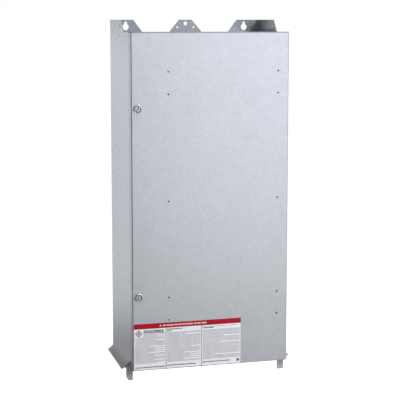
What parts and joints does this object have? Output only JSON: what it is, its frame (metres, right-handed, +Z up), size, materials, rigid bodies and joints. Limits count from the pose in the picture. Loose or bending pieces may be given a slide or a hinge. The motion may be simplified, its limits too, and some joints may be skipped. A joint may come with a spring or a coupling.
{
  "type": "breaker panel box",
  "caption": "Tall wall-hung galvanised electrical distribution box with keyhole ears, a side-hinged pan cover on quarter-turn latches, and a main and branch breaker interior.",
  "frame": {"origin": "on the back wall's outer face, halfway across the box and halfway up its cover", "axes": "+X to the right seen from the front, +Y into the wall, +Z up"},
  "size_m": [0.5616, 0.2905, 1.128],
  "materials": {
    "galvanised_sheet": "galvanised, fine spangle",
    "galvanised_cover": "galvanised, fine spangle, satin",
    "zinc_fittings": "bright zinc plate",
    "label_paper": null,
    "breaker_black": "moulded",
    "toggle_black": "smooth moulded",
    "support_red": "glass-filled polyester",
    "tinned_bus": "tin plated",
    "lug_aluminium": "extruded, plain",
    "deadfront_grey": "grey enamel",
    "trip_red": "smooth moulded"
  },
  "bodies": {
    "enclosure": {"enclosure_wrapper": "galvanised_sheet", "top_wall": "galvanised_sheet", "bottom_wall": "galvanised_sheet", "latch_strike_rail": "galvanised_sheet", "interior_pan": "galvanised_sheet", "pan_bracket_lower": "galvanised_sheet", "pan_bracket_upper": "galvanised_sheet", "deadfront_rail_left": "galvanised_sheet", "deadfront_rail_right": "galvanised_sheet", "upper_hinge_wall_leaf": "zinc_fittings", "upper_hinge_pin": "zinc_fittings", "lower_hinge_wall_leaf": "zinc_fittings", "lower_hinge_pin": "zinc_fittings", "deadfront_screw_lower_left": "zinc_fittings", "deadfront_screw_lower_right": "zinc_fittings", "deadfront_screw_upper_left": "zinc_fittings", "deadfront_screw_upper_right": "zinc_fittings", "bus_support_base": "support_red", "neutral_insulator": "support_red", "bus_bar_a": "tinned_bus", "line_lug_a": "lug_aluminium", "bus_bar_b": "tinned_bus", "line_lug_b": "lug_aluminium", "bus_bar_c": "tinned_bus", "line_lug_c": "lug_aluminium", "neutral_bar": "lug_aluminium", "ground_bar": "lug_aluminium", "branch_case_left_1": "breaker_black", "branch_case_left_2": "breaker_black", "branch_case_left_3": "breaker_black", "branch_case_left_4": "breaker_black", "branch_case_right_1": "breaker_black", "branch_case_right_2": "breaker_black", "branch_case_right_3": "breaker_black", "main_breaker_case": "breaker_black", "filler_plate": "breaker_black", "deadfront_panel": "deadfront_grey"},
    "cover": {"front_cover": "galvanised_cover", "cover_stiffener_left": "galvanised_cover", "cover_stiffener_right": "galvanised_cover", "cover_label": "label_paper", "upper_latch_bezel": "zinc_fittings", "upper_latch_nut": "zinc_fittings", "lower_latch_bezel": "zinc_fittings", "lower_latch_nut": "zinc_fittings", "upper_hinge_cover_leaf": "zinc_fittings", "lower_hinge_cover_leaf": "zinc_fittings"},
    "upper_latch": {"upper_latch_rotor": "zinc_fittings", "upper_latch_pawl": "zinc_fittings"},
    "lower_latch": {"lower_latch_rotor": "zinc_fittings", "lower_latch_pawl": "zinc_fittings"},
    "main_toggle": {"main_breaker_handle": "toggle_black"},
    "trip_button": {"main_trip_button": "trip_red"},
    "left_toggle_1": {"branch_handle_left_1": "toggle_black"},
    "left_toggle_2": {"branch_handle_left_2": "toggle_black"},
    "left_toggle_3": {"branch_handle_left_3": "toggle_black"},
    "left_toggle_4": {"branch_handle_left_4": "toggle_black"},
    "right_toggle_1": {"branch_handle_right_1": "toggle_black"},
    "right_toggle_2": {"branch_handle_right_2": "toggle_black"},
    "right_toggle_3": {"branch_handle_right_3": "toggle_black"}
  },
  "joints": [
    {"name": "cover_hinge", "type": "hinge", "parent": "enclosure", "child": "cover", "pos_m": [0.2575, -0.2545, 0], "axis": [0, 0, 1], "range_deg": [0, 105]},
    {"name": "upper_latch_turn", "type": "hinge", "parent": "cover", "child": "upper_latch", "pos_m": [-0.2348, -0.288, 0.291], "axis": [0, 1, 0], "range_deg": [0, 90]},
    {"name": "lower_latch_turn", "type": "hinge", "parent": "cover", "child": "lower_latch", "pos_m": [-0.2348, -0.288, -0.293], "axis": [0, 1, 0], "range_deg": [0, 90]},
    {"name": "main_toggle_throw", "type": "hinge", "parent": "enclosure", "child": "main_toggle", "pos_m": [0, -0.2001, 0.2325], "axis": [-1, 0, 0], "range_deg": [0, 40]},
    {"name": "trip_button_push", "type": "slide", "parent": "enclosure", "child": "trip_button", "axis": [0, 1, 0], "range_m": [0, 0.0025], "stiffness_N_per_m": 400},
    {"name": "left_toggle_1_throw", "type": "hinge", "parent": "enclosure", "child": "left_toggle_1", "pos_m": [-0.095, -0.2016, 0.02], "axis": [0, 0, 1], "range_deg": [0, 40]},
    {"name": "left_toggle_2_throw", "type": "hinge", "parent": "enclosure", "child": "left_toggle_2", "pos_m": [-0.095, -0.2016, -0.085], "axis": [0, 0, 1], "range_deg": [0, 40]},
    {"name": "left_toggle_3_throw", "type": "hinge", "parent": "enclosure", "child": "left_toggle_3", "pos_m": [-0.095, -0.2016, -0.19], "axis": [0, 0, 1], "range_deg": [0, 40]},
    {"name": "left_toggle_4_throw", "type": "hinge", "parent": "enclosure", "child": "left_toggle_4", "pos_m": [-0.095, -0.2016, -0.295], "axis": [0, 0, 1], "range_deg": [0, 40]},
    {"name": "right_toggle_1_throw", "type": "hinge", "parent": "enclosure", "child": "right_toggle_1", "pos_m": [0.095, -0.2016, 0.02], "axis": [0, 0, -1], "range_deg": [0, 40]},
    {"name": "right_toggle_2_throw", "type": "hinge", "parent": "enclosure", "child": "right_toggle_2", "pos_m": [0.095, -0.2016, -0.085], "axis": [0, 0, -1], "range_deg": [0, 40]},
    {"name": "right_toggle_3_throw", "type": "hinge", "parent": "enclosure", "child": "right_toggle_3", "pos_m": [0.095, -0.2016, -0.19], "axis": [0, 0, -1], "range_deg": [0, 40]}
  ]
}
